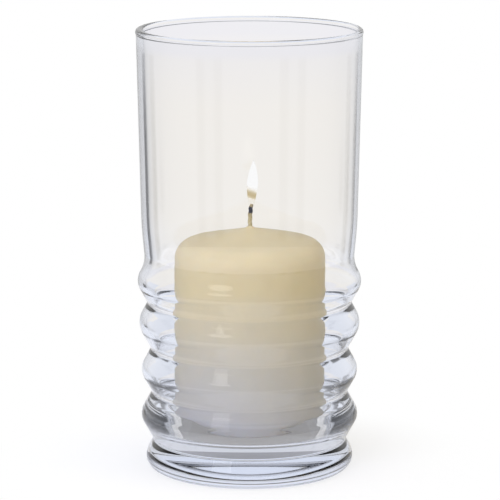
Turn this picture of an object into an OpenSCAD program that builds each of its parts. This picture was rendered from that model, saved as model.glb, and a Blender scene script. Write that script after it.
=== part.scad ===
// Hurricane candle lantern: a clear glass cylinder with ribbed rings round its
// lower half, and a pillar candle that stands loose on its thick glass floor.
// Millimetres. +Z is up, and the origin is the centre of the foot's underside.

/* [Pillar candle] */
// Diameter of the wax pillar
candle_d = 75; // [60:1:90]
// Height of the wax from its base to the peak of its top
candle_h = 100; // [70:1:130]
// Slope of the cast top, from the peak down to the shoulder, in degrees
top_slope = 12; // [4:1:18]
// Radius of the rounded shoulder
shoulder_r = 9; // [4:1:14]
// Bevel round the base of the wax
base_bevel = 0.8; // [0.3:0.1:2]

/* [Wick and sustainer] */
// Diameter of the waxed cotton wick
wick_d = 2.3; // [1.5:0.1:4]
// Length of wick that stands out of the wax
wick_out = 11.4; // [6:0.1:20]
// Angle through which the free end of the wick leans over, in degrees
wick_lean = 10; // [4:1:25]
// Running clearance between the wick and what it passes through
wick_clearance = 0.1; // [0.05:0.01:0.2]
// Diameter of the tinplate disc that anchors the wick
sustainer_d = 20; // [14:1:30]
// Thickness of the tinplate disc
sustainer_t = 0.4; // [0.3:0.1:0.8]
// Height of the crimped neck over the underside of the disc
sustainer_neck_h = 6; // [4:0.5:10]
// Wall of the crimped neck
sustainer_neck_t = 0.6; // [0.4:0.1:1]
// Clearance between the sustainer and the wax cast over it
sustainer_clearance = 0.05; // [0.02:0.01:0.15]

/* [Glass, upright wall] */
// Overall height of the glass
glass_h = 220; // [190:1:260]
// Thickness of the blown wall
wall = 2.7; // [2:0.1:3.4]
// Outside of the wall under the rim, measured out from the side of the candle
rim_reach = 18.05; // [17.5:0.05:21]
// Outside of the shoulder, where the wall straightens over the waist, from the candle
shoulder_reach = 15.9; // [15:0.1:17.4]
// Outside of the waist over the top ring, before it is softened, from the candle
waist_reach = 14.1; // [13.2:0.1:14.9]
// Height from the waist to the shoulder
shoulder_rise = 18.7; // [14:0.1:26]
// Radius that softens the waist
waist_round = 16; // [6:1:20]
// Radius that softens the shoulder
shoulder_round = 150; // [80:10:200]
// How far the fire-polished rim bead swells past each face of the wall
rim_bead = 0.3; // [0.1:0.05:0.6]

/* [Glass, rings] */
// Slope of the straight flanks on each side of a ring, from the upright, in degrees
ring_flank = 29; // [28:0.5:33]
// Crest of the top ring, measured out from the side of the candle
ring_1_reach = 17.9; // [16.8:0.1:18.5]
// Crest of the second ring, from the candle
ring_2_reach = 17.2; // [16:0.1:18]
// Crest of the third ring, from the candle
ring_3_reach = 16.2; // [15:0.1:16.8]
// Crest of the lowest ring, from the candle
ring_4_reach = 16.4; // [15:0.1:16.9]
// Neck under the top ring, before it is softened, from the candle
neck_1_reach = 13; // [12:0.1:13.8]
// Neck under the second ring, before it is softened, from the candle
neck_2_reach = 11.4; // [10.5:0.1:12.5]
// Neck under the third ring, before it is softened, from the candle
neck_3_reach = 11.1; // [10.4:0.1:12]
// Neck over the foot, before it is softened, from the candle
neck_4_reach = 10.4; // [10:0.1:11.5]
// Height of the top ring, from its neck up to the waist
ring_1_h = 19.9; // [18.5:0.1:22]
// Height of the second ring, from neck to neck
ring_2_h = 23.1; // [21:0.1:26]
// Height of the third ring, from neck to neck
ring_3_h = 22; // [20.5:0.1:25]
// Height of the lowest ring, from the neck over the foot to the next one
ring_4_h = 24; // [23:0.1:26]
// Radius that softens each neck on the outside of the glass
neck_round = 1.5; // [0.6:0.1:3]
// Extra radius of the necks inside, over an even wall
neck_ease = 5; // [1:0.5:5]

/* [Glass, foot and floor] */
// Crest of the foot, measured out from the side of the candle
foot_reach = 14.1; // [12.5:0.1:14.8]
// Height of the foot's crest over the table
foot_rise = 5.8; // [4.5:0.1:7]
// Height of the neck over the foot
neck_4_rise = 14.6; // [13.6:0.1:17]
// Outer edge of the ring that stands on the table, from the candle
contact_reach = 9.3; // [7.5:0.1:10.5]
// Width of the flat ring that stands on the table
contact_w = 8; // [5:0.5:12]
// Height of the shallow hollow under the foot, at its centre
hollow_h = 1.8; // [0.8:0.1:3]
// Thickness of the glass floor, from the table to its top
floor_t = 21.3; // [19:0.1:23]
// Flat margin of the floor round the candle
floor_margin = 4.5; // [3:0.1:7]
// Inside of the bowl where its wall stands upright, from the candle
bowl_reach = 11; // [10:0.1:11.6]
// Radius that softens the bowl's wall where it leans in towards the first neck
bowl_round = 4; // [2:0.5:5]
// Gap left between the candle's base and the glass floor
seat_gap = 0.2; // [0.1:0.05:0.4]

/* [Hidden] */

// Largest turn of an arc from one outline point to the next, in degrees
ARC_STEP = 10;
// How far a cutting tool runs past the face that it cuts
PAST = 1;
// Length of straight wick over the wax before it leans
WICK_STRAIGHT = 3;
$fn = 96;

candle_r = candle_d / 2;
candle_z = floor_t + seat_gap;
wick_bore_r = wick_d / 2 + wick_clearance;
neck_bore_r = wick_d / 2 + wick_clearance;
sustainer_neck_r = neck_bore_r + sustainer_neck_t;
peak_z = candle_z + candle_h;

// Corners of the glass's outside, as [radius, height]: straight flanks run between
// the necks and the rings, and every corner is softened by an arc.
function from_candle(reach, z) = [candle_r + reach, z];
neck_4 = from_candle(neck_4_reach, neck_4_rise);
neck_3 = from_candle(neck_3_reach, neck_4.y + ring_4_h);
neck_2 = from_candle(neck_2_reach, neck_3.y + ring_3_h);
neck_1 = from_candle(neck_1_reach, neck_2.y + ring_2_h);
waist = from_candle(waist_reach, neck_1.y + ring_1_h);
shoulder = from_candle(shoulder_reach, waist.y + shoulder_rise);
contact = from_candle(contact_reach, 0);
foot = from_candle(foot_reach, foot_rise);
rim_r = candle_r + rim_reach;
rim_bead_r = wall / 2 + rim_bead;
rim_bead_z = glass_h - rim_bead_r;
rim_bead_start = acos((wall / 2) / rim_bead_r);
rim_foot = [rim_r, rim_bead_z];

// How far a flank runs out over a unit of height, and how far its meeting point
// with the next flank lies outside a crest that is rounded with a unit radius
flank_run = tan(ring_flank);
flank_gain = 1 / cos(ring_flank) - 1;

// Point where the flanks over one neck and under the next would meet
function tip(low, high) = [
    (low.x + high.x + (high.y - low.y) * flank_run) / 2,
    (low.y + high.y + (high.x - low.x) / flank_run) / 2];

// Ring between two necks, as [corner, radius], rounded down to the crest's reach
function ring(low, high, reach) =
    let (corner = tip(low, high)) [corner, (corner.x - candle_r - reach) / flank_gain];

// The waist's arc takes no more of the flank under it than the top ring leaves
ring_1 = ring(neck_1, waist, ring_1_reach);
waist_half_turn = (ring_flank + atan((shoulder.x - waist.x) / (shoulder.y - waist.y))) / 2;
waist_room = norm(ring_1[0] - waist) - ring_1[1] * flank_run;
waist_r = min(waist_round, waist_room / tan(waist_half_turn));

ring_2 = ring(neck_2, neck_1, ring_2_reach);
ring_3 = ring(neck_3, neck_2, ring_3_reach);
ring_4 = ring(neck_4, neck_3, ring_4_reach);

LOWER_CORNERS = [[neck_4, neck_round], ring_4];
TOP_CORNERS = [ring_1, [waist, waist_r], [shoulder, shoulder_round]];
UPPER_CORNERS = concat(
    [[neck_3, neck_round], ring_3, [neck_2, neck_round], ring_2, [neck_1, neck_round]],
    TOP_CORNERS);

// Corners of the bowl inside the lowest ring. Its wall stands upright until it
// meets the inner flank under the third neck, and the floor turns up into it.
inner_neck_3 = neck_3 - [wall / cos(ring_flank), 0];
bowl_r = candle_r + bowl_reach;
bowl_tip = [bowl_r, neck_3.y - (bowl_r - inner_neck_3.x) / flank_run];
bowl_room = bowl_tip.y - floor_t - bowl_round * tan(ring_flank / 2);
bowl_corner = min(bowl_reach - floor_margin, bowl_room);
BOWL_CORNERS = [[[bowl_r, floor_t], bowl_corner], [bowl_tip, bowl_round]];

// The necks are rounder inside, as far as the flanks beside them leave room
neck_3_room = (norm(bowl_tip - inner_neck_3) - bowl_round * tan(ring_flank / 2)) / flank_run - wall;
function room_beside(neck, ring) = norm(ring[0] - neck) / flank_run - ring[1];
function eased(neck, under, over) =
    [neck, min(neck_round + neck_ease, under, room_beside(neck, over))];
INNER_CORNERS = concat(
    [eased(neck_3, neck_3_room, ring_3), ring_3],
    [eased(neck_2, room_beside(neck_2, ring_3), ring_2), ring_2],
    [eased(neck_1, room_beside(neck_1, ring_2), ring_1)],
    TOP_CORNERS);

function angle_to(from, to) = atan2(to.y - from.y, to.x - from.x);

// Points of an arc, both ends included
function arc(centre, r, from, to) =
    let (n = max(2, ceil(abs(to - from) / ARC_STEP)))
    [for (i = [0:n]) let (a = from + (to - from) * i / n) centre + r * [cos(a), sin(a)]];
function after_first(p) = [for (i = [1:len(p) - 1]) p[i]];
function reversed(p) = [for (i = [len(p) - 1:-1:0]) p[i]];

// Arc that softens the corner between two straight runs. The arc is drawn inset to
// the left of the way through them, which is into the glass on the way up outside.
function soft_corner(before, corner, after, r, inset) =
    let (a = angle_to(before, corner), b = angle_to(corner, after),
         side = b > a ? 1 : -1,
         in_a = [cos(a + 90 * side), sin(a + 90 * side)],
         in_b = [cos(b + 90 * side), sin(b + 90 * side)],
         centre = corner + r * (in_a + in_b) / (1 + in_a * in_b))
    arc(centre, r - side * inset, a - 90 * side, b - 90 * side);

// Outline through soft corners, on the way from a first point to a last one
function soft_outline(first, corners, last, inset) =
    let (path = concat([first], [for (c = corners) c[0]], [last]))
    [for (k = [0:len(corners) - 1])
        each soft_corner(path[k], path[k + 1], path[k + 2], corners[k][1], inset)];
function flank_under(neck) = neck + [flank_run, -1];

// The foot's crest: one arc comes up to it from the table, and another leaves it
// and ends along the flank under the lowest neck
foot_drop = foot.x - contact.x;
under_r = (foot_rise * foot_rise + foot_drop * foot_drop) / (2 * foot_drop);
over_r = ((neck_4.y - foot.y) * flank_run - (foot.x - neck_4.x)) / flank_gain;
under_centre = foot - [under_r, 0];
over_centre = foot - [over_r, 0];
function foot_outline() = concat(
    arc(under_centre, under_r, angle_to(under_centre, contact), 0),
    after_first(arc(over_centre, over_r, 0, ring_flank)));

// Shallow dome under the foot, from the axis out to the flat contact ring
hollow_r = candle_r + contact_reach - contact_w;
hollow_curve = (hollow_r * hollow_r + hollow_h * hollow_h) / (2 * hollow_h);
hollow_centre = [0, hollow_h - hollow_curve];
hollow_half_angle = asin(hollow_r / hollow_curve);
HOLLOW_STEPS = 6;
function hollow_outline() = [
    for (i = [0:HOLLOW_STEPS]) let (a = 90 - hollow_half_angle * i / HOLLOW_STEPS)
    hollow_centre + hollow_curve * [cos(a), sin(a)]
];

module glass_hurricane() {
    color("lightsteelblue", 0.4)
    rotate_extrude()
    polygon(concat(
        hollow_outline(),
        foot_outline(),
        soft_outline(flank_under(neck_4), concat(LOWER_CORNERS, UPPER_CORNERS), rim_foot, 0),
        arc([rim_r - wall / 2, rim_bead_z], rim_bead_r, -rim_bead_start, 180 + rim_bead_start),
        reversed(soft_outline(flank_under(neck_3), INNER_CORNERS, rim_foot, wall)),
        reversed(soft_outline([0, floor_t], BOWL_CORNERS, inner_neck_3, 0)),
        [[0, floor_t]]));
}

// Half section of the wax: side, rounded shoulder and sloping top
shoulder_centre_r = candle_r - shoulder_r;
shoulder_centre_z = candle_h - shoulder_centre_r * tan(top_slope) - shoulder_r / cos(top_slope);
module wax_section() {
    polygon(concat(
        [[0, 0], [candle_r - base_bevel, 0], [candle_r, base_bevel]],
        arc([shoulder_centre_r, shoulder_centre_z], shoulder_r, 0, 90 - top_slope),
        [[0, candle_h]]));
}

module pillar_candle() {
    color("blanchedalmond")
    translate([0, 0, candle_z])
    difference() {
        rotate_extrude() wax_section();
        translate([0, 0, -PAST]) cylinder(r = wick_bore_r, h = candle_h + 2 * PAST);
        translate([0, 0, -PAST])
            cylinder(r = sustainer_d / 2 + sustainer_clearance,
                     h = sustainer_t + sustainer_clearance + PAST);
        cylinder(r = sustainer_neck_r + sustainer_clearance,
                 h = sustainer_neck_h + sustainer_clearance);
    }
}

// The wick runs from the sustainer's underside up through the wax. Its free end
// leans over in an arc whose length is what remains of wick_out.
wick_bend_r = (wick_out - WICK_STRAIGHT) / (wick_lean * PI / 180);
module wick() {
    color("tan") {
        translate([0, 0, candle_z])
            cylinder(d = wick_d, h = candle_h + WICK_STRAIGHT);
        translate([wick_bend_r, 0, peak_z + WICK_STRAIGHT])
            rotate([90, 0, 180])
            rotate_extrude(angle = wick_lean)
            translate([wick_bend_r, 0]) circle(d = wick_d);
    }
}

module wick_sustainer() {
    color("silver")
    translate([0, 0, candle_z])
    difference() {
        union() {
            cylinder(d = sustainer_d, h = sustainer_t);
            cylinder(r = sustainer_neck_r, h = sustainer_neck_h);
        }
        translate([0, 0, -PAST]) cylinder(r = neck_bore_r, h = sustainer_neck_h + 2 * PAST);
    }
}

glass_hurricane();
pillar_candle();
wick();
wick_sustainer();
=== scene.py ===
# %% [markdown]
# # Dressing a hurricane candle lantern
# The lantern is one thick-footed glass with ribbed rings, and a pillar candle that stands loose in
# it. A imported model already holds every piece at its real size. This notebook gives each piece the
# shape and finish that the eye expects: clear glass that bends what is behind it, silky wax, a
# braided wick and a small flame. Everything is in metres, with +Z up and the table at zero.

# %% The frame
import math

import bpy
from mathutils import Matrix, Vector, noise


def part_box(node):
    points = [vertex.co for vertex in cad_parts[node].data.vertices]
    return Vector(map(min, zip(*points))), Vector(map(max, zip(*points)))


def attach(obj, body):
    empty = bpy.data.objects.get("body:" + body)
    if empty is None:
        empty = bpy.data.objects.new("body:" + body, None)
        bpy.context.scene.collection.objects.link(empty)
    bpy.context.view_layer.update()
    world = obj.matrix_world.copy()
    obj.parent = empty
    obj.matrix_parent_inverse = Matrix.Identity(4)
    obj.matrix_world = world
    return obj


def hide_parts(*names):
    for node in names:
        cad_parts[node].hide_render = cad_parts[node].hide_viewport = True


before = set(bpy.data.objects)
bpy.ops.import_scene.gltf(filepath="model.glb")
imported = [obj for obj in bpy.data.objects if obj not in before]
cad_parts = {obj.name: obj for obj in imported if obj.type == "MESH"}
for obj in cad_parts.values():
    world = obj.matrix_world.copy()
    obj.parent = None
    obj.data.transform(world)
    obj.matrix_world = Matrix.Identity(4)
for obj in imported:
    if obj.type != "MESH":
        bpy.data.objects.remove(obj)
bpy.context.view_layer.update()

# %% [markdown]
# ## Units and the sizes that come from the frame
# A maker thinks of glass and wax in millimetres, so sizes below are written times MM. The sizes of
# the candle, the wick and its tin foot, and the glass's height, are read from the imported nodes. The
# glass is then drawn out from the candle's side, as a glassmaker sizes a hurricane for the candle it
# will hold.

# %% Sizes from the frame
MM = 0.001
glass_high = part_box("glass_hurricane")[1]
wax_low, wax_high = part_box("pillar_candle")
wick_low, wick_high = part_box("wick")
tin_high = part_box("wick_sustainer")[1]
GLASS_HEIGHT = glass_high.z
CANDLE_RADIUS = wax_high.x
CANDLE_BASE = wax_low.z
WICK_BASE = wick_low.z
WICK_RADIUS = wick_high.y
TIN_RADIUS = tin_high.x
print("glass stands", round(GLASS_HEIGHT / MM, 1), "mm")
print("candle radius", round(CANDLE_RADIUS / MM, 2), "mm")

# %% [markdown]
# ## The camera
# The camera stands about a metre and a half off with a long lens, a little over the rim, and looks
# down by eleven degrees. The long lens keeps the sides of the glass nearly parallel.

# %% The camera
CAMERA_DISTANCE = 1459 * MM
CAMERA_HEIGHT = 387.3 * MM
CAMERA_SIDE = 0.3 * MM
CAMERA_TILT = math.radians(10.778)
CAMERA_LENS = 215.7

bpy.ops.object.camera_add(
    location=(CAMERA_SIDE, -CAMERA_DISTANCE, CAMERA_HEIGHT),
    rotation=(math.pi / 2 - CAMERA_TILT, 0, 0))
camera = bpy.context.object
camera.name = "camera"
camera.data.lens = CAMERA_LENS
camera.data.sensor_width = 36
camera.data.clip_start = 0.05
bpy.context.scene.camera = camera
print("camera lens", camera.data.lens, "mm")

# %% [markdown]
# ## Helpers for shader nodes
# A finish is a tree of small nodes. By hand they are added and wired with the mouse. In code the
# same steps would repeat over and over, so a few helpers each add a node, wire it up, and hand back
# the output that the next node needs.

# %% Adding and wiring nodes
def node(tree, kind, **values):
    """Adds a node, sets its properties, and sets plain input values by name."""
    made = tree.nodes.new(kind)
    for name, value in values.items():
        if hasattr(made, name):
            setattr(made, name, value)
        else:
            made.inputs[name.replace("_", " ")].default_value = value
    return made


def wire(tree, source, target):
    tree.links.new(source, target)


def maths(tree, operation, first, second=None, third=None, clamp=False):
    """A Math node whose inputs are sockets or numbers. It returns its output."""
    made = tree.nodes.new("ShaderNodeMath")
    made.operation = operation
    made.use_clamp = clamp
    for slot, value in zip(made.inputs, (first, second, third)):
        if value is None:
            continue
        if isinstance(value, bpy.types.NodeSocket):
            wire(tree, value, slot)
        else:
            slot.default_value = value
    return made.outputs[0]


def axes(tree, vector):
    """Splits a vector. It returns the outputs X, Y and Z."""
    made = tree.nodes.new("ShaderNodeSeparateXYZ")
    wire(tree, vector, made.inputs[0])
    return made.outputs


print("node helpers", [helper.__name__ for helper in (node, wire, maths, axes)])


# %% Colours from nodes
def ramp(tree, factor, stops):
    """A Color Ramp from rising (place, colour) stops. It returns its colour output."""
    made = tree.nodes.new("ShaderNodeValToRGB")
    elements = made.color_ramp.elements
    elements.remove(elements[1])
    elements[0].position = stops[0][0]
    elements[0].color = (*stops[0][1], 1)
    for place, colour in stops[1:]:
        elements.new(place).color = (*colour, 1)
    wire(tree, factor, made.inputs[0])
    return made.outputs[0]


def grey(level):
    return (level, level, level)


def greys(*stops):
    """Turns (place, level) stops into grey ones for a ramp."""
    return [(place, grey(level)) for place, level in stops]


def choose(tree, factor, first, second):
    """Mixes two colours, which are sockets or plain colours. It returns the mixed colour."""
    made = tree.nodes.new("ShaderNodeMix")
    made.data_type = "RGBA"
    wire(tree, factor, made.inputs["Factor"])
    for name, value in (("A", first), ("B", second)):
        slot = [s for s in made.inputs if s.name == name and s.type == "RGBA"][0]
        if isinstance(value, bpy.types.NodeSocket):
            wire(tree, value, slot)
        else:
            slot.default_value = (*value, 1)
    return [s for s in made.outputs if s.type == "RGBA"][0]


def times(tree, first, second):
    """Multiplies two colours."""
    made = tree.nodes.new("ShaderNodeVectorMath")
    made.operation = "MULTIPLY"
    wire(tree, first, made.inputs[0])
    wire(tree, second, made.inputs[1])
    return made.outputs[0]


WHITE = grey(1.0)
print("white is", WHITE)

# %% [markdown]
# ## Light that shows glass
# Clear glass has hardly any colour of its own: it is seen by what it bends and mirrors. So it is
# lit from a bright field, with dark cards at the sides, and every edge then draws itself as a dark
# line. The world here is such a studio, and what it shows depends on the kind of ray:
# - The camera itself sees plain white.
# - A ray that only bends on its way through the glass sees a nearly white wall, and higher up a dark
#   grey border. Low on the wall stand narrow black cards, about thirty degrees from the middle of
#   each side, just where a piece of glass that is turned edge on bends light to.
# - A ray that is mirrored inside the glass sees a plain pale room instead, which keeps the foot
#   light. Beside each card it has a dark slot, which draws a line or two in the foot.
# - A ray that is mirrored on the outside sees a dark room, unless it goes on to the back, as it does
#   where it only grazes the side of the glass. There is a pale wall.
# - Light that falls on wax and other matt surfaces comes from an even sky.

# %% Directions in the studio
QUARTER_FOLD = math.pi / 4


def to_share(tree, value):
    """Brings a value that runs from -1 to 1 into the range from 0 to 1."""
    return maths(tree, "MULTIPLY_ADD", value, 0.5, 0.5)


world = bpy.data.worlds.new("studio")
bpy.context.scene.world = world
world.use_nodes = True
sky = world.node_tree
sky.nodes.clear()
toward = axes(sky, sky.nodes.new("ShaderNodeTexCoord").outputs["Generated"])
turn = maths(sky, "ARCTAN2", toward["Y"], toward["X"])
aside = maths(sky, "DIVIDE", maths(sky, "PINGPONG", turn, QUARTER_FOLD), QUARTER_FOLD)
height = to_share(sky, toward["Z"])
backward = to_share(sky, toward["Y"])
print("aside is 0 in the middle of each side and 1 in the corners; height is 0.5 at eye level")

# %% The wall, its windows and its black cards
CARD = 0.10
WARM_WHITE = (0.945, 0.915, 0.865)

windows = ramp(sky, aside, greys(
    (0.0, 1.0), (0.22, 1.0), (0.35, 0.96), (0.47, 0.84), (0.55, 0.45),
    (0.62, CARD), (0.72, CARD), (0.80, 0.6), (0.90, 0.9)))
wall = ramp(sky, height, [
    (0.0, (0.85, 0.87, 0.92)), (0.38, (0.93, 0.92, 0.92)), (0.41, WARM_WHITE),
    (0.43, (0.945, 0.915, 0.87)), (0.445, (0.88, 0.87, 0.90)), (0.585, (0.90, 0.90, 0.93)),
    (0.615, (0.34, 0.34, 0.365)), (0.75, (0.32, 0.32, 0.34)), (0.85, grey(0.8)), (0.94, grey(0.9))])
card_band = ramp(sky, height, greys((0.0, 0.0), (0.36, 0.0), (0.39, 1.0), (0.49, 1.0), (0.515, 0.0)))
carded_wall = times(sky, choose(sky, card_band, WHITE, windows), wall)
print("wall and cards use", len(sky.nodes), "nodes")

# %% The room for rays that are mirrored inside the glass
PALE_BLUE = (0.80, 0.84, 0.95)
ROOM_GREY = (0.68, 0.69, 0.73)
SLOT = 0.06

room = ramp(sky, height, [
    (0.0, PALE_BLUE), (0.38, PALE_BLUE), (0.41, ROOM_GREY), (0.445, ROOM_GREY),
    (0.49, (0.78, 0.80, 0.86)), (0.6, ROOM_GREY), (1.0, (0.72, 0.74, 0.79))])
slot_aside = ramp(sky, aside, greys((0.0, 1.0), (0.64, 1.0), (0.71, SLOT), (0.84, SLOT), (0.92, 0.8)))
slot_band = ramp(sky, height, greys((0.0, 0.0), (0.35, 0.0), (0.37, 1.0), (0.42, 1.0), (0.44, 0.0)))
slotted_room = times(sky, room, choose(sky, slot_band, WHITE, slot_aside))
print("with the room it is", len(sky.nodes), "nodes")

# %% What each kind of ray sees
SKY_FOR_MATT = 0.74
SKY_MIRRORED = 0.10


def unscattered(tree, rays, kind):
    """One for a ray of a kind that has met no matt surface on its way, and zero for other rays."""
    return maths(tree, "MULTIPLY", rays[kind], maths(tree, "LESS_THAN", rays["Diffuse Depth"], 0.5))


rays = sky.nodes.new("ShaderNodeLightPath").outputs
turned_back = maths(sky, "MINIMUM", rays["Glossy Depth"], 1.0)
behind_glass = maths(sky, "MINIMUM", rays["Transmission Depth"], 1.0)
to_back = ramp(sky, backward, greys((0.0, 0.0), (0.62, 0.0), (0.82, 1.0)))
back_wall = ramp(sky, height, greys((0.0, 0.62), (0.46, 0.62), (0.58, 0.95)))
mirrored_outside = choose(sky, to_back, grey(SKY_MIRRORED), back_wall)
bent_view = choose(sky, turned_back, carded_wall, slotted_room)
mirror_view = choose(sky, behind_glass, mirrored_outside, slotted_room)
level = choose(sky, unscattered(sky, rays, "Is Glossy Ray"), grey(SKY_FOR_MATT), mirror_view)
level = choose(sky, unscattered(sky, rays, "Is Transmission Ray"), level, bent_view)
level = choose(sky, rays["Is Camera Ray"], level, WHITE)
background = sky.nodes.new("ShaderNodeBackground")
wire(sky, level, background.inputs["Color"])
sky_out = sky.nodes.new("ShaderNodeOutputWorld")
wire(sky, background.outputs[0], sky_out.inputs["Surface"])
bpy.context.scene.view_settings.view_transform = "Standard"
print("world has", len(sky.nodes), "nodes")

# %% [markdown]
# ## Lamps
# Three soft boxes light the lantern. The key is high and to the left, and slightly cool. The fill is
# to the right, weaker and warm, and keeps the shade side of the candle open. The glass mirrors
# neither of them. What it does mirror is the gleam, a faint oval lamp in nearly the same place as
# the key, which draws the small bright highlights on the upper flank of each ring.

# %% The lamps
def soft_box(name, azimuth, elevation, distance, size, power, colour=WHITE, shape="RECTANGLE"):
    """An area lamp aimed at the middle of the glass. Azimuth 0 is at the camera."""
    target = Vector((0, 0, GLASS_HEIGHT / 2))
    a, e = math.radians(azimuth), math.radians(elevation)
    back = Vector((math.sin(a) * math.cos(e), -math.cos(a) * math.cos(e), math.sin(e)))
    bpy.ops.object.light_add(type="AREA", location=target + back * distance)
    lamp = bpy.context.object
    lamp.name = name
    lamp.rotation_mode = "QUATERNION"
    lamp.rotation_quaternion = (-back).to_track_quat("-Z", "Y")
    lamp.data.shape = shape
    lamp.data.size, lamp.data.size_y = size
    lamp.data.energy = power
    lamp.data.color = colour
    return lamp


key = soft_box(
    "key", azimuth=-33, elevation=30, distance=1.2, size=(0.8, 0.6), power=11.8,
    colour=(0.78, 0.815, 1.0))
gleam = soft_box(
    "gleam", azimuth=-34, elevation=30, distance=1.2, size=(0.5, 0.4), power=0.55, shape="ELLIPSE")
fill = soft_box(
    "fill", azimuth=70, elevation=30, distance=1.6, size=(1.0, 1.0), power=4.8,
    colour=(1.0, 0.74, 0.12))
for lamp in (key, fill):
    lamp.visible_glossy = False
    lamp.visible_transmission = False
print("lamps", [(lamp.name, round(lamp.data.energy, 2)) for lamp in (key, gleam, fill)])

# %% [markdown]
# ## The floor
# A pale round table top. It is small, because the glass should see the studio past its edge. To the
# camera it fades into the white field, so no edge shows, and near the glass it keeps a soft shadow.
# Through the glass it is a sheet of pale blue paper, with the candle's shadow painted on it as a
# grey disc, and a dark board lying to each side. Thick glass bends what lies beside it into lines,
# and the boards give the foot its dark edges.

# %% The floor's shape
FLOOR_RADIUS = 0.42

bpy.ops.mesh.primitive_circle_add(vertices=96, radius=FLOOR_RADIUS, fill_type="NGON")
floor = bpy.context.object
floor.name = "floor"
print("floor is", 2 * FLOOR_RADIUS, "m across")

# %% [markdown]
# ### What every finish starts and ends with
# Each finish begins as a material with an empty tree, reads where a point lies on its object, and
# ends in the material's output. These steps are the same each time, so helpers take them up.

# %% Starting and ending a material
def blank_material(name):
    """A material with an empty tree. It returns both."""
    made = bpy.data.materials.new(name)
    made.use_nodes = True
    made.node_tree.nodes.clear()
    return made, made.node_tree


def show(tree, shader, volume=None):
    """Wires a shader, and a volume where there is one, to the material's output."""
    out = tree.nodes.new("ShaderNodeOutputMaterial")
    wire(tree, shader.outputs[0], out.inputs["Surface"])
    if volume:
        wire(tree, volume.outputs[0], out.inputs["Volume"])


def object_place(tree):
    """Where a point lies on the object, in metres."""
    return tree.nodes.new("ShaderNodeTexCoord").outputs["Object"]


def mix_shaders(tree, factor, first, second):
    """A Mix Shader between two shaders."""
    made = tree.nodes.new("ShaderNodeMixShader")
    wire(tree, factor, made.inputs[0])
    wire(tree, first.outputs[0], made.inputs[1])
    wire(tree, second.outputs[0], made.inputs[2])
    return made


def between_values(tree, factor, low, high, to_low=0.0, to_high=1.0, smooth=False):
    """A Map Range node. It returns its result."""
    made = tree.nodes.new("ShaderNodeMapRange")
    made.interpolation_type = "SMOOTHSTEP" if smooth else "LINEAR"
    for name, value in (("From Min", low), ("From Max", high), ("To Min", to_low), ("To Max", to_high)):
        made.inputs[name].default_value = value
    wire(tree, factor, made.inputs["Value"])
    return made.outputs[0]


paper, sheet = blank_material("white_paper")
print("blank material", paper.name)

# %% What the glass shows of the floor
RAMP_REACH = 0.2
PAPER_IN_GLASS = (0.78, 0.82, 0.92)

place = object_place(sheet)
length = sheet.nodes.new("ShaderNodeVectorMath")
length.operation = "LENGTH"
wire(sheet, place, length.inputs[0])
away = maths(sheet, "DIVIDE", length.outputs["Value"], RAMP_REACH)
beside = maths(sheet, "DIVIDE", maths(sheet, "ABSOLUTE", axes(sheet, place)["X"]), RAMP_REACH)
# Painted shadow: a grey disc under the candle, darkest just inside its edge, then pale blue paper.
paper_with_painted_shadow = ramp(sheet, away, [
    (0.0, (0.40, 0.39, 0.385)), (0.15, (0.36, 0.355, 0.36)), (0.20, (0.30, 0.30, 0.31)),
    (0.235, (0.50, 0.51, 0.55)), (0.265, PAPER_IN_GLASS)])
boards = ramp(sheet, beside, greys(
    (0.0, 1.0), (0.22, 1.0), (0.27, 0.25), (0.36, 0.10), (0.5, 0.12), (0.7, 0.5), (1.0, 0.8)))
past_boards = ramp(sheet, away, greys((0.0, 0.0), (0.7, 0.0), (0.8, 1.0)))
floor_in_glass = choose(sheet, past_boards, times(sheet, paper_with_painted_shadow, boards), PAPER_IN_GLASS)
print("the floor in the glass uses", len(sheet.nodes), "nodes")

# %% White paper
SHADOW_REACH = 0.055
FLOOR_FADE = 0.13
FADED_BY_GLASS = 0.6

floor_rays = sheet.nodes.new("ShaderNodeLightPath").outputs
floor_bent = unscattered(sheet, floor_rays, "Is Transmission Ray")
faded = between_values(
    sheet, length.outputs["Value"], SHADOW_REACH, FLOOR_FADE, to_low=FADED_BY_GLASS, smooth=True)
near = maths(sheet, "MULTIPLY", faded, floor_rays["Is Camera Ray"])
matt_paper = node(sheet, "ShaderNodeBsdfDiffuse", Color=(0.93, 0.93, 0.94, 1))
lit_paper = sheet.nodes.new("ShaderNodeEmission")
wire(sheet, choose(sheet, floor_bent, WHITE, floor_in_glass), lit_paper.inputs["Color"])
show(sheet, mix_shaders(sheet, maths(sheet, "MAXIMUM", near, floor_bent), matt_paper, lit_paper))
floor.data.materials.append(paper)
print("paper has", len(sheet.nodes), "nodes")

# %% [markdown]
# ## Spinning a half section
# The glass, the candle and the flame are each round about one axis, so they are drawn as a half
# section and spun. The helper starts from a plane merged down to one vertex, extrudes that vertex
# along the outline, and spins the line of edges round Z.

# %% Lathe helper
MERGE_WITHIN = 0.002 * MM


def lathe(name, outline, steps):
    """Spins an outline of (radius, height) points round Z into a closed mesh object."""
    bpy.ops.object.select_all(action="DESELECT")
    bpy.ops.mesh.primitive_plane_add(size=MM, location=(0, 0, 0))
    piece = bpy.context.object
    piece.name = name
    piece.data.name = name
    bpy.ops.object.mode_set(mode="EDIT")
    bpy.ops.mesh.merge(type="CENTER")
    bpy.ops.transform.translate(value=(outline[0][0], 0, outline[0][1]))
    for (r0, z0), (r1, z1) in zip(outline, outline[1:]):
        bpy.ops.mesh.extrude_region_move(TRANSFORM_OT_translate={"value": (r1 - r0, 0, z1 - z0)})
    bpy.ops.mesh.select_all(action="SELECT")
    bpy.ops.mesh.spin(steps=steps, angle=2 * math.pi, center=(0, 0, 0), axis=(0, 0, 1))
    bpy.ops.mesh.select_all(action="SELECT")
    bpy.ops.mesh.remove_doubles(threshold=MERGE_WITHIN)
    bpy.ops.mesh.normals_make_consistent(inside=False)
    bpy.ops.object.mode_set(mode="OBJECT")
    bpy.ops.object.shade_smooth()
    print(name, len(piece.data.polygons), "faces")
    return piece


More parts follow.
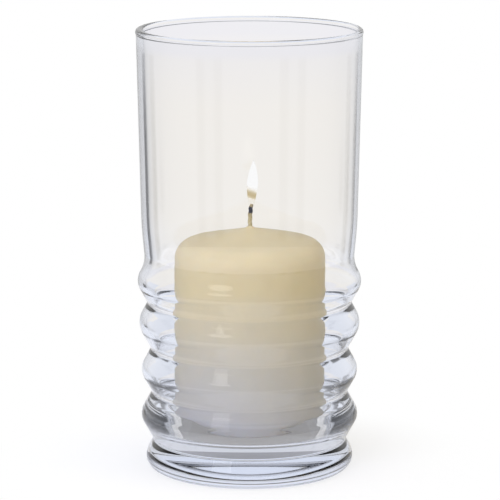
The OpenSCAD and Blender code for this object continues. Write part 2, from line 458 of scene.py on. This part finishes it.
def arc(centre, radius, start, stop, step=5):
    """Points of an arc in the half section, both ends included. Angles in degrees."""
    count = max(2, math.ceil(abs(stop - start) / step))
    angles = [math.radians(start + (stop - start) * i / count) for i in range(count + 1)]
    return [(centre[0] + radius * math.cos(a), centre[1] + radius * math.sin(a)) for a in angles]


print("a quarter circle takes", len(arc((0, 0), 1, 0, 90)), "points")

# %% [markdown]
# ## The glass
# The glass is blown into a ribbed mould. Outside, each ring is a round crest between two straight
# flanks, and the rings meet in soft necks. An outline like this is easiest to state by its corners:
# straight runs between necks and ring tips, and a radius that softens each corner. Drawing the same
# corners one wall further in gives the inside, with wider radii at the necks, because hot glass
# flows away from a narrow corner. Each reach below is a distance from the candle's side.

# %% The glass's sizes
WALL = 2.7 * MM
RING_FLANK = 29
NECK_ROUND = 1.5 * MM
NECK_EASE = 5 * MM
WAIST_ROUND = 16 * MM
SHOULDER_ROUND = 150 * MM
NECK_REACHES = [10.4 * MM, 11.1 * MM, 11.4 * MM, 13 * MM]
RING_REACHES = [16.4 * MM, 16.2 * MM, 17.2 * MM, 17.9 * MM]
LOWEST_NECK = 14.6 * MM
RING_HEIGHTS = [24 * MM, 22 * MM, 23.1 * MM, 19.9 * MM]
WAIST_REACH = 14.1 * MM
SHOULDER_REACH = 15.9 * MM
SHOULDER_RISE = 18.7 * MM
FLANK = math.radians(RING_FLANK)


def from_candle(reach, z):
    return (CANDLE_RADIUS + reach, z)


neck_heights = [LOWEST_NECK + sum(RING_HEIGHTS[:k]) for k in range(len(RING_HEIGHTS))]
necks = [from_candle(reach, z) for reach, z in zip(NECK_REACHES, neck_heights)]
waist = from_candle(WAIST_REACH, LOWEST_NECK + sum(RING_HEIGHTS))
shoulder = from_candle(SHOULDER_REACH, waist[1] + SHOULDER_RISE)
print("necks at", [round(z / MM, 1) for z in neck_heights], "mm, waist at", round(waist[1] / MM, 1))


# %% Soft corners
def bearing(start, end):
    return math.degrees(math.atan2(end[1] - start[1], end[0] - start[0]))


def unit(degrees):
    return math.cos(math.radians(degrees)), math.sin(math.radians(degrees))


def soft_corner(before, corner, after, radius, inset, step):
    """The arc that softens a corner, drawn inset to the left of the way through it."""
    a, b = bearing(before, corner), bearing(corner, after)
    side = 1 if b > a else -1
    (ax, az), (bx, bz) = unit(a + 90 * side), unit(b + 90 * side)
    k = radius / (1 + ax * bx + az * bz)
    centre = (corner[0] + k * (ax + bx), corner[1] + k * (az + bz))
    return arc(centre, radius - side * inset, a - 90 * side, b - 90 * side, step)


def soft_outline(first, corners, last, inset=0, step=3):
    """Points through a list of (corner, radius), on the way from a first point to a last one."""
    path = [first] + [corner for corner, _ in corners] + [last]
    points = []
    for k, (corner, radius) in enumerate(corners):
        points += soft_corner(path[k], corner, path[k + 2], radius, inset, step)
    return points


print("a square corner takes", len(soft_outline((0, 0), [((2, 0), 1)], (2, 2))), "points")

# %% The corners of the rings
# A ring's corner stands out past its round crest by this share of the crest's radius.
CREST_SHARE = 1 / math.cos(FLANK) - 1


def ring(low, high, reach):
    """The corner where the flanks between two necks meet, and the radius that brings it to its crest."""
    x = (low[0] + high[0] + (high[1] - low[1]) * math.tan(FLANK)) / 2
    z = (low[1] + high[1] + (high[0] - low[0]) / math.tan(FLANK)) / 2
    return (x, z), (x - CANDLE_RADIUS - reach) / CREST_SHARE


def flank_under(neck):
    return (neck[0] + MM * math.tan(FLANK), neck[1] - MM)


lower_corners = [(necks[0], NECK_ROUND), ring(necks[0], necks[1], RING_REACHES[0])]
upper_corners = []
for low, high, reach in zip(necks[1:], necks[2:] + [waist], RING_REACHES[1:]):
    upper_corners += [(low, NECK_ROUND), ring(low, high, reach)]
upper_corners += [(waist, WAIST_ROUND), (shoulder, SHOULDER_ROUND)]
inner_corners = [
    (corner, radius + NECK_EASE if radius == NECK_ROUND else radius) for corner, radius in upper_corners]
crest_radii = [radius for _, radius in (lower_corners + upper_corners)[1:8:2]]
print("ring radii", [round(radius / MM, 1) for radius in crest_radii], "mm")

# %% [markdown]
# ### The foot
# Under the candle the glass is solid, which makes the lantern hard to tip over. The foot rolls under
# to a flat ring that it stands on. Inside this ring the base is a shallow hollow, so that it can't
# rock. The foot is two arcs, one over its crest and one under it, and the hollow is a third. The
# upper one meets the lowest neck's flank without a corner, so its radius follows from the sizes.

# %% The foot and the hollow under it
FOOT_REACH = 14.1 * MM
FOOT_RISE = 5.8 * MM
CONTACT_REACH = 9.3 * MM
CONTACT_WIDTH = 8 * MM
HOLLOW_DEPTH = 1.8 * MM

foot = from_candle(FOOT_REACH, FOOT_RISE)
foot_drop = FOOT_REACH - CONTACT_REACH
under_radius = (FOOT_RISE ** 2 + foot_drop ** 2) / (2 * foot_drop)
under_centre = (foot[0] - under_radius, foot[1])
over_radius = ((necks[0][1] - foot[1]) * math.tan(FLANK) - (foot[0] - necks[0][0])) / CREST_SHARE
foot_outline = (
    arc(under_centre, under_radius, bearing(under_centre, from_candle(CONTACT_REACH, 0)), 0, step=3)
    + arc((foot[0] - over_radius, foot[1]), over_radius, 0, RING_FLANK, step=3)[1:])
hollow_radius = CANDLE_RADIUS + CONTACT_REACH - CONTACT_WIDTH
hollow_curve = (hollow_radius ** 2 + HOLLOW_DEPTH ** 2) / (2 * HOLLOW_DEPTH)
hollow_edge = math.degrees(math.asin(hollow_radius / hollow_curve))
hollow = arc((0, HOLLOW_DEPTH - hollow_curve), hollow_curve, 90, 90 - hollow_edge, step=0.5)
print("foot's crest", round(foot[0] / MM, 1), "mm out, hollow", round(hollow_radius / MM, 1), "mm")

# %% [markdown]
# ### The bowl
# Inside, the lowest ring hardly shows. Under the second neck the bowl widens a little, and then it
# goes straight down to a flat floor with a wide round corner. The candle stands on that floor. These
# are corners too, and the same helper softens them.

# %% The bowl
FLOOR_THICKNESS = 21.3 * MM
FLOOR_MARGIN = 4.5 * MM
BOWL_REACH = 11 * MM
BOWL_ROUND = 4 * MM

inner_neck = (necks[1][0] - WALL / math.cos(FLANK), necks[1][1])
bowl_radius = CANDLE_RADIUS + BOWL_REACH
bowl_tip = (bowl_radius, inner_neck[1] - (bowl_radius - inner_neck[0]) / math.tan(FLANK))
bowl_corners = [((bowl_radius, FLOOR_THICKNESS), BOWL_REACH - FLOOR_MARGIN), (bowl_tip, BOWL_ROUND)]
print("bowl radius", round(bowl_radius / MM, 1), "mm, floor", FLOOR_THICKNESS / MM, "mm thick")

# %% [markdown]
# ### The rim
# The rim was melted round in a flame, which leaves a bead a little thicker than the wall. The bead is
# an arc of more than half a circle, and a small fillet on each side leads the wall into it.

# %% The rim
RIM_REACH = 18.05 * MM
RIM_BEAD = 0.3 * MM
RIM_FILLET = 2 * MM

bead_radius = WALL / 2 + RIM_BEAD
bead_middle = CANDLE_RADIUS + RIM_REACH - WALL / 2
bead_height = GLASS_HEIGHT - bead_radius
fillet_out = WALL / 2 + RIM_FILLET
fillet_lean = math.degrees(math.acos(fillet_out / (bead_radius + RIM_FILLET)))
fillet_height = bead_height - (bead_radius + RIM_FILLET) * math.sin(math.radians(fillet_lean))
rim = (
    arc((bead_middle + fillet_out, fillet_height), RIM_FILLET, 180, 180 - fillet_lean)
    + arc((bead_middle, bead_height), bead_radius, -fillet_lean, 180 + fillet_lean, step=9)[1:-1]
    + arc((bead_middle - fillet_out, fillet_height), RIM_FILLET, fillet_lean, 0))
print("rim swells from", round(fillet_height / MM, 2), "mm up")

# %% Spinning the glass
GLASS_STEPS = 192
WALL_LOOPS = 12
FLOOR_LOOPS = 6


def between(start, end, count):
    """Points that divide a straight run evenly, without its two ends."""
    shares = [i / count for i in range(1, count)]
    return [(start[0] + (end[0] - start[0]) * t, start[1] + (end[1] - start[1]) * t) for t in shares]


outside = soft_outline(flank_under(necks[0]), lower_corners + upper_corners, rim[0])
inside = (
    soft_outline((0, FLOOR_THICKNESS), bowl_corners, inner_neck)
    + soft_outline(flank_under(necks[1]), inner_corners, rim[0], inset=WALL))[::-1]
glass_outline = (
    [(0, HOLLOW_DEPTH)] + hollow[1:] + foot_outline
    + outside + between(outside[-1], rim[0], WALL_LOOPS) + rim
    + between(rim[-1], inside[0], WALL_LOOPS) + inside
    + between(inside[-1], (0, FLOOR_THICKNESS), FLOOR_LOOPS) + [(0, FLOOR_THICKNESS)])
glass = lathe("glass_hurricane_blown", glass_outline, GLASS_STEPS)

# %% [markdown]
# ### A wall that isn't quite even
# Blown glass never comes out with the same wall all round. The inside sits a little over half a
# millimetre to one side of the outside, so the dark line of the wall's inner edge lies deeper on the
# left than on the right. Only points whose normal faces the axis move, and none near the floor.

# %% Shifting the inside
INSIDE_SHIFT = 0.58 * MM
SHIFT_FROM = FLOOR_THICKNESS + 8 * MM
SHIFT_FULL = 80 * MM
FACING_MIDDLE = 0.5
FACING_SLOPE = 1.5


def held(value):
    """Holds a value between 0 and 1."""
    return min(1, max(0, value))


def eased(share):
    """Makes an even rise from 0 to 1 start and end softly."""
    return share * share * (3 - 2 * share)


facing = [vertex.normal.copy() for vertex in glass.data.vertices]
for vertex, normal in zip(glass.data.vertices, facing):
    x, y, z = vertex.co
    radius = math.hypot(x, y)
    if radius < MM:
        continue
    outward = (normal.x * x + normal.y * y) / radius
    inner = held(FACING_MIDDLE - FACING_SLOPE * outward)
    share = held((z - SHIFT_FROM) / (SHIFT_FULL - SHIFT_FROM))
    vertex.co.x += INSIDE_SHIFT * inner * eased(share)
glass.data.update()
print("inside shifted by", INSIDE_SHIFT / MM, "mm")

# %% [markdown]
# ## Clear glass
# The surface is a Principled shader with full transmission. A faint blue absorption inside colours
# only the thick foot. Lamps can't find their way through refracting glass, so a shadow ray sees
# nearly clear glass instead.

# %% The glass material
GLASS_IOR = 1.5
SHADOW_THROUGH = (0.93, 0.94, 0.95, 1)
FOOT_BLUE = (0.80, 0.86, 1.0, 1)
FOOT_BLUE_DENSITY = 4.0

clear_glass, melt = blank_material("clear_glass")
body_glass = node(melt, "ShaderNodeBsdfPrincipled", Base_Color=(1, 1, 1, 1), Roughness=0.0, IOR=GLASS_IOR)
body_glass.inputs["Transmission Weight"].default_value = 1.0
lamp_glass = node(melt, "ShaderNodeBsdfTransparent", Color=SHADOW_THROUGH)
glass_rays = melt.nodes.new("ShaderNodeLightPath").outputs
either = mix_shaders(melt, glass_rays["Is Shadow Ray"], body_glass, lamp_glass)
tint = node(melt, "ShaderNodeVolumeAbsorption", Color=FOOT_BLUE, Density=FOOT_BLUE_DENSITY)
show(melt, either, tint)
glass.data.materials.append(clear_glass)
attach(glass, "glass")
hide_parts("glass_hurricane")
print("glass has", len(melt.nodes), "nodes")

# %% [markdown]
# ## The candle
# The pillar was cast in a mould, so its side is straight, its shoulder rounded and its top a low
# cone that the cooling wax drew up round the wick. Its base has a recess for the tin sustainer.

# %% The candle's shape
CANDLE_HEIGHT = 100 * MM
TOP_SLOPE = 12
SLOPE = math.radians(TOP_SLOPE)
SHOULDER_RADIUS = 9 * MM
BASE_BEVEL = 0.8 * MM
BASE_LOOP = 0.6
SIDE_LOOPS = 40
TOP_LOOPS = 40
TOP_CROWDING = 1.6
CANDLE_STEPS = 192
TIN_RECESS_RADIUS = TIN_RADIUS + 0.05 * MM
TIN_RECESS_DEPTH = 0.45 * MM
MENISCUS = 0.7 * MM
MENISCUS_REACH = 0.9 * MM

shoulder_r = CANDLE_RADIUS - SHOULDER_RADIUS
shoulder_z = CANDLE_HEIGHT - shoulder_r * math.tan(SLOPE) - SHOULDER_RADIUS / math.cos(SLOPE)
side = [
    (CANDLE_RADIUS, BASE_BEVEL + (shoulder_z - BASE_BEVEL) * i / SIDE_LOOPS)
    for i in range(SIDE_LOOPS + 1)]
top = arc((shoulder_r, shoulder_z), SHOULDER_RADIUS, 0, 90 - TOP_SLOPE, step=4)[1:]
top_radius, top_edge = top[-1]


def top_height(r):
    """Height of the cone at a radius, with the wax that creeps up round the wick."""
    cone = CANDLE_HEIGHT + (top_edge - CANDLE_HEIGHT) * (r / top_radius)
    return cone + MENISCUS * math.exp(-max(0, r - WICK_RADIUS) / MENISCUS_REACH)


slope_radii = [top_radius * (1 - i / TOP_LOOPS) ** TOP_CROWDING for i in range(1, TOP_LOOPS + 1)]
slope = [(r, top_height(r)) for r in slope_radii]
wax_outline = [
    (0, TIN_RECESS_DEPTH), (TIN_RECESS_RADIUS, TIN_RECESS_DEPTH), (TIN_RECESS_RADIUS, 0),
    (CANDLE_RADIUS * BASE_LOOP, 0), (CANDLE_RADIUS - BASE_BEVEL, 0)] + side + top + slope
wax_outline = [(r, z + CANDLE_BASE) for r, z in wax_outline]
candle = lathe("pillar_candle_cast", wax_outline, CANDLE_STEPS)

# %% [markdown]
# ### Uneven casting
# Wax shrinks as it cools, so its skin is never quite true to the mould. By hand this would be a few
# light strokes of a sculpting brush. Here a smooth noise moves each point a little in or out, and on
# the top also up or down. The base and the middle of the top stay as they are.

# %% Casting unevenness
UNEVEN = 0.18 * MM
UNEVEN_SCALE = 55
UNEVEN_STRETCH = 0.6
UNEVEN_INWARD = 0.5
EVEN_MIDDLE = 2 * MM
EVEN_BASE = 1.5 * MM

for vertex in candle.data.vertices:
    x, y, z = vertex.co
    radius = math.hypot(x, y)
    if radius < EVEN_MIDDLE or z < CANDLE_BASE + EVEN_BASE:
        continue
    wave = noise.noise(Vector((x, y, z * UNEVEN_STRETCH)) * UNEVEN_SCALE) - UNEVEN_INWARD
    vertex.co.x += UNEVEN * wave * x / radius
    vertex.co.y += UNEVEN * wave * y / radius
    vertex.co.z += UNEVEN * wave * (1 - radius / CANDLE_RADIUS)
candle.data.update()
print("wax is uneven by about", UNEVEN / MM, "mm")

# %% [markdown]
# ### Cloudy patches, as a node group
# Wax, cotton and tin are all cloudy: they vary a little from place to place, at more than one scale.
# One node group makes such clouds from two noises, and each material sets its own scale.

# %% A group that makes clouds
FINER = 9.0


def group_tree(name, inputs, outputs):
    """A shader node group with named sockets. It returns the tree and its input and output nodes."""
    tree = bpy.data.node_groups.new(name, "ShaderNodeTree")
    for socket, kind, default in inputs:
        made = tree.interface.new_socket(socket, in_out="INPUT", socket_type=kind)
        if default is not None:
            made.default_value = default
    for socket, kind in outputs:
        tree.interface.new_socket(socket, in_out="OUTPUT", socket_type=kind)
    return tree, tree.nodes.new("NodeGroupInput"), tree.nodes.new("NodeGroupOutput")


clouds, clouds_in, clouds_out = group_tree(
    "clouds",
    [("Vector", "NodeSocketVector", None), ("Scale", "NodeSocketFloat", 60.0),
     ("Fine Share", "NodeSocketFloat", 0.3)],
    [("Cloud", "NodeSocketFloat")])
broad = node(clouds, "ShaderNodeTexNoise", Detail=3.0, Roughness=0.5)
fine = node(clouds, "ShaderNodeTexNoise", Detail=4.0, Roughness=0.6)
for layer in (broad, fine):
    wire(clouds, clouds_in.outputs["Vector"], layer.inputs["Vector"])
wire(clouds, clouds_in.outputs["Scale"], broad.inputs["Scale"])
wire(clouds, maths(clouds, "MULTIPLY", clouds_in.outputs["Scale"], FINER), fine.inputs["Scale"])
apart = maths(clouds, "SUBTRACT", fine.outputs[0], broad.outputs[0])
mixed = maths(clouds, "MULTIPLY_ADD", apart, clouds_in.outputs["Fine Share"], broad.outputs[0])
wire(clouds, mixed, clouds_out.inputs["Cloud"])
print("clouds group has", len(clouds.nodes), "nodes")

# %% Using the clouds
CLOUD_LOW = 0.3
CLOUD_MIDDLE = 0.5
CLOUD_HIGH = 0.7


def cloud(tree, place, scale, fine_share):
    """Adds the clouds group to a material. It returns the cloud, which varies round one half."""
    made = tree.nodes.new("ShaderNodeGroup")
    made.node_tree = clouds
    made.inputs["Scale"].default_value = scale
    made.inputs["Fine Share"].default_value = fine_share
    wire(tree, place, made.inputs["Vector"])
    return made.outputs["Cloud"]


def cloudy(tree, place, scale, fine_share, low, high):
    """A value that drifts between low and high with the clouds."""
    return between_values(tree, cloud(tree, place, scale, fine_share), CLOUD_LOW, CLOUD_HIGH, low, high)


def strayed(tree, value, drift, reach, clamp=False):
    """Moves a value up and down with a cloud."""
    off_middle = maths(tree, "SUBTRACT", drift, CLOUD_MIDDLE)
    return maths(tree, "MULTIPLY_ADD", off_middle, reach, value, clamp)


def grain(tree, pattern, strength, depth):
    """A Bump node over a pattern. It returns the normal."""
    made = node(tree, "ShaderNodeBump", Strength=strength, Distance=depth)
    wire(tree, pattern, made.inputs["Height"])
    return made.outputs[0]


def feed(tree, shader, **sources):
    """Wires outputs to a shader's inputs by name."""
    for name, source in sources.items():
        wire(tree, source, shader.inputs[name.replace("_", " ")])


print("cloud helpers", [helper.__name__ for helper in (cloud, cloudy, strayed, grain, feed)])

# %% [markdown]
# ## Wax
# Ivory wax, with light painted into its colour: the flame's warm glow high up, and a greyer painted
# shade low down, where the thick glass stands round it. Light enters it and comes out a few
# millimetres away, which is what subsurface scattering gives. The clouds vary its colour and gloss by
# a few percent.

# %% Wax material
wax, cast = blank_material("ivory_wax")
wax_place = object_place(cast)
wax_rise = between_values(cast, axes(cast, wax_place)["Z"], CANDLE_BASE, CANDLE_BASE + CANDLE_HEIGHT)
wax_drift = cloud(cast, wax_place, scale=22.0, fine_share=0.15)
# Painted light: the ramp is warm with the flame's painted glow high up, and greyer with painted shade low
# down.
wax_with_painted_light = ramp(cast, strayed(cast, wax_rise, wax_drift, reach=0.35, clamp=True), [
    (0.0, (0.44, 0.43, 0.435)), (0.25, (0.51, 0.48, 0.42)), (0.5, (0.59, 0.52, 0.375)),
    (0.75, (0.66, 0.55, 0.325)), (1.0, (0.70, 0.585, 0.355))])
mottle = cloudy(cast, wax_place, scale=90.0, fine_share=0.5, low=0.96, high=1.03)
wax_dull = cloudy(cast, wax_place, scale=140.0, fine_share=0.4, low=0.36, high=0.52)
wax_pits = cloud(cast, wax_place, scale=260.0, fine_share=0.6)
wax_body = node(cast, "ShaderNodeBsdfPrincipled", IOR=1.44)
wax_body.inputs["Subsurface Weight"].default_value = 0.35
wax_body.inputs["Subsurface Radius"].default_value = (1.0, 0.7, 0.4)
wax_body.inputs["Subsurface Scale"].default_value = 6 * MM
feed(cast, wax_body, Base_Color=times(cast, wax_with_painted_light, mottle), Roughness=wax_dull,
     Normal=grain(cast, wax_pits, strength=0.25, depth=0.1 * MM))
show(cast, wax_body)
candle.data.materials.append(wax)
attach(candle, "candle")
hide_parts("pillar_candle")
print("wax has", len(cast.nodes), "nodes")

# %% [markdown]
# ## The wick
# The wick is a braid of cotton strands. It runs from the sustainer up through the wax and leans over
# at its free end. It starts as a rod that is extruded ring by ring, finely where it shows, because
# only fine rings can take the braid.

# %% The wick's rod
WICK_FACES = 36
WICK_OUT = 11.4 * MM
WICK_STRAIGHT = 3 * MM
WICK_LEAN = math.radians(10)
BURIED_STEP = 4 * MM
SHOWN_STEP = 0.2 * MM

peak = CANDLE_BASE + CANDLE_HEIGHT
bend_radius = (WICK_OUT - WICK_STRAIGHT) / WICK_LEAN
buried_steps = round((peak - WICK_BASE) / BURIED_STEP)
shown_steps = round(WICK_OUT / SHOWN_STEP)
bpy.ops.object.select_all(action="DESELECT")
bpy.ops.mesh.primitive_circle_add(
    vertices=WICK_FACES, radius=WICK_RADIUS, fill_type="TRIFAN", location=(0, 0, WICK_BASE))
wick = bpy.context.object
wick.name = "wick_braided"
bpy.ops.object.transform_apply(location=True)
bpy.ops.object.mode_set(mode="EDIT")
for count, step in ((buried_steps, (peak - WICK_BASE) / buried_steps), (shown_steps, SHOWN_STEP)):
    for _ in range(count):
        bpy.ops.mesh.extrude_region_move(TRANSFORM_OT_translate={"value": (0, 0, step)})
bpy.ops.mesh.select_all(action="SELECT")
bpy.ops.mesh.normals_make_consistent(inside=False)
bpy.ops.object.mode_set(mode="OBJECT")
print("wick rod has", len(wick.data.polygons), "faces, top at", round((peak + WICK_OUT) / MM, 1), "mm")

# %% [markdown]
# ### The braid
# A real braid could be modelled strand by strand, but it would be lost at this size. Instead the
# strands are pressed into the rod's surface: two sets of waves that wind opposite ways give the
# braid. The flame has burnt the wick thin and rough near the tip. Last, the rod is bent along an arc.

# %% Braiding, burning and bending the wick
STRAND_DEPTH = 0.2 * MM
STRANDS = 3
STRAND_PITCH = 3.4 * MM
BRAID_UNDER = 0.5 * MM
BURNT_FROM = 8.6 * MM
BURNT_THIN = 0.3
BURNT_ROUGH = 0.25
BURNT_SCALE = 1400

for vertex in wick.data.vertices:
    x, y, z = vertex.co
    above = z - peak
    if above < -BRAID_UNDER:
        continue
    angle = math.atan2(y, x)
    wind = 2 * math.pi * z / STRAND_PITCH
    strand = max(math.cos(STRANDS * angle + wind), math.cos(STRANDS * angle - wind))
    shrink = 1 - STRAND_DEPTH / WICK_RADIUS * (1 - strand)
    burnt = held((above - BURNT_FROM) / (WICK_OUT - BURNT_FROM))
    rough = noise.noise(Vector((x, y, z)) * BURNT_SCALE) * BURNT_ROUGH * burnt
    shrink *= 1 - BURNT_THIN * burnt * burnt + rough
    lean = min(WICK_LEAN, max(0, (above - WICK_STRAIGHT) / bend_radius))
    x, y = x * shrink, y * shrink
    if above > WICK_STRAIGHT:
        reach = bend_radius - x
        vertex.co = (bend_radius - reach * math.cos(lean), y, peak + WICK_STRAIGHT + reach * math.sin(lean))
    else:
        vertex.co = (x, y, z)
wick.data.update()
bpy.ops.object.shade_smooth()
wick_tip = max((vertex.co for vertex in wick.data.vertices), key=lambda point: point.z)
print("wick tip at", [round(value / MM, 2) for value in wick_tip])

# %% [markdown]
# ### Waxed cotton
# Cotton soaked in wax is a dull yellow. Near the tip the flame has charred it black, with a ragged
# lower edge, and the very end has burnt to a tan ash. A ramp along the height gives the colours, the
# clouds make its edges ragged, and a fine bump gives the fibres.

# %% The cotton's colours
RAGGED_EDGE = 1.6 * MM

cotton, thread = blank_material("waxed_cotton")
thread_place = object_place(thread)
thread_drift = cloud(thread, thread_place, scale=900.0, fine_share=0.3)
ragged = strayed(thread, axes(thread, thread_place)["Z"], thread_drift, RAGGED_EDGE)
along = between_values(thread, ragged, peak, peak + WICK_OUT)
cotton_colour = ramp(thread, along, [
    (0.0, (0.56, 0.48, 0.28)), (0.35, (0.50, 0.42, 0.23)), (0.58, (0.42, 0.34, 0.18)),
    (0.64, (0.03, 0.03, 0.045)), (0.86, (0.02, 0.02, 0.03)), (0.92, (0.34, 0.27, 0.15)),
    (1.0, (0.50, 0.41, 0.25))])
fibre = cloudy(thread, thread_place, scale=2600.0, fine_share=0.5, low=0.8, high=1.1)
print("the colours use", len(thread.nodes), "nodes")

# %% Waxed cotton
cotton_dull = between_values(thread, along, low=0.5, high=0.66, to_low=0.45, to_high=0.95)
fuzz = cloud(thread, thread_place, scale=3200.0, fine_share=0.5)
cotton_body = node(thread, "ShaderNodeBsdfPrincipled")
feed(thread, cotton_body, Base_Color=times(thread, cotton_colour, fibre), Roughness=cotton_dull,
     Normal=grain(thread, fuzz, strength=0.5, depth=0.05 * MM))
show(thread, cotton_body)
wick.data.materials.append(cotton)
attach(wick, "candle")
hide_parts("wick")
print("cotton has", len(thread.nodes), "nodes")

# %% [markdown]
# ## The sustainer
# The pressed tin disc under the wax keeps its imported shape. Tinplate is a soft grey metal with faint
# crystals, called spangle, which a Voronoi pattern gives.

# %% Tinplate
SPANGLE_DULL = 0.15

tinplate, tin = blank_material("tinplate")
tin_place = object_place(tin)
spangle = node(tin, "ShaderNodeTexVoronoi", Scale=420.0)
wire(tin, tin_place, spangle.inputs["Vector"])
crystal = axes(tin, spangle.outputs["Color"])
tin_colour = ramp(tin, crystal["X"], [(0.0, (0.55, 0.56, 0.58)), (1.0, (0.68, 0.69, 0.70))])
smear = cloudy(tin, tin_place, scale=300.0, fine_share=0.4, low=0.25, high=0.45)
tin_dull = maths(tin, "MULTIPLY_ADD", crystal["Y"], SPANGLE_DULL, smear)
tin_body = node(tin, "ShaderNodeBsdfPrincipled", Metallic=1.0)
feed(tin, tin_body, Base_Color=tin_colour, Roughness=tin_dull)
show(tin, tin_body)
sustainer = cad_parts["wick_sustainer"]
sustainer.data.materials.clear()
sustainer.data.materials.append(tinplate)
print("tinplate has", len(tin.nodes), "nodes")

# %% [markdown]
# ## The flame
# The flame is burning gas, so it isn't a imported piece: it rides on the candle as a closed form that
# only glows. Its lower part is clear, a tan veil lies over the wick's tip, and the upper part is
# white. A lathe gives the drop shape, and leaning its rings to one side lets it follow the wick.

# %% The flame's shape
FLAME_LOW = peak + 9.6 * MM
FLAME_HEART = 143.6 * MM
FLAME_TIP = 155.2 * MM
FLAME_RADIUS = 2.75 * MM
FLAME_BASE = 0.6
FLAME_TAPER = 1.5
FLAME_BLUNT = 0.9
FLAME_LEAN = 0.055
FLAME_SIDE = 0.55 * MM
FLAME_STEPS = 48


def flame_width(z):
    """Radius of the flame at a height: round below its widest place, drawn out above it."""
    if z < FLAME_HEART:
        share = (z - FLAME_LOW) / (FLAME_HEART - FLAME_LOW)
        return FLAME_RADIUS * (FLAME_BASE + (1 - FLAME_BASE) * eased(share))
    share = (z - FLAME_HEART) / (FLAME_TIP - FLAME_HEART)
    return FLAME_RADIUS * (1 - share ** FLAME_TAPER) ** FLAME_BLUNT


flame_heights = [FLAME_LOW + (FLAME_TIP - FLAME_LOW) * i / FLAME_STEPS for i in range(FLAME_STEPS)]
flame_outline = [(0, FLAME_LOW)] + [(flame_width(z), z) for z in flame_heights] + [(0, FLAME_TIP)]
flame = lathe("flame", flame_outline, FLAME_STEPS)
for vertex in flame.data.vertices:
    vertex.co.x += FLAME_SIDE + (vertex.co.z - FLAME_LOW) * FLAME_LEAN
flame.data.update()
print("flame from", round(FLAME_LOW / MM, 1), "to", FLAME_TIP / MM, "mm")

# %% [markdown]
# ### Glowing gas
# Gas gives light and has no surface. Its shader is black and dull, so that it mirrors nothing, and
# all that shows is its emission. One ramp along the height sets the colour and another how much of
# it is see-through. The height is tilted a little, so that the veil runs across at a slant.

# %% Glowing gas
GAS_TILT = 0.35

glow, gas = blank_material("flame_gas")
gas_axes = axes(gas, object_place(gas))
tilted = maths(gas, "MULTIPLY_ADD", gas_axes["X"], GAS_TILT, gas_axes["Z"])
rise = between_values(gas, tilted, FLAME_LOW, FLAME_TIP)
gas_colour = ramp(gas, rise, [
    (0.0, (0.90, 0.84, 0.72)), (0.20, (0.80, 0.70, 0.48)), (0.27, (0.55, 0.44, 0.24)),
    (0.33, (0.60, 0.50, 0.30)), (0.39, (0.97, 0.92, 0.80)), (0.44, WHITE), (1.0, WHITE)])
gas_alpha = ramp(gas, rise, greys(
    (0.0, 0.0), (0.10, 0.06), (0.19, 0.12), (0.23, 0.85), (0.33, 0.85),
    (0.38, 0.15), (0.42, 0.4), (0.47, 1.0), (0.92, 1.0), (1.0, 0.3)))
gas_body = node(gas, "ShaderNodeBsdfPrincipled", Base_Color=(0, 0, 0, 1), Roughness=1.0)
gas_body.inputs["Specular IOR Level"].default_value = 0
gas_body.inputs["Emission Strength"].default_value = 1.0
feed(gas, gas_body, Emission_Color=gas_colour, Alpha=gas_alpha)
show(gas, gas_body)
flame.data.materials.append(glow)
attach(flame, "candle")
print("flame's gas has", len(gas.nodes), "nodes")
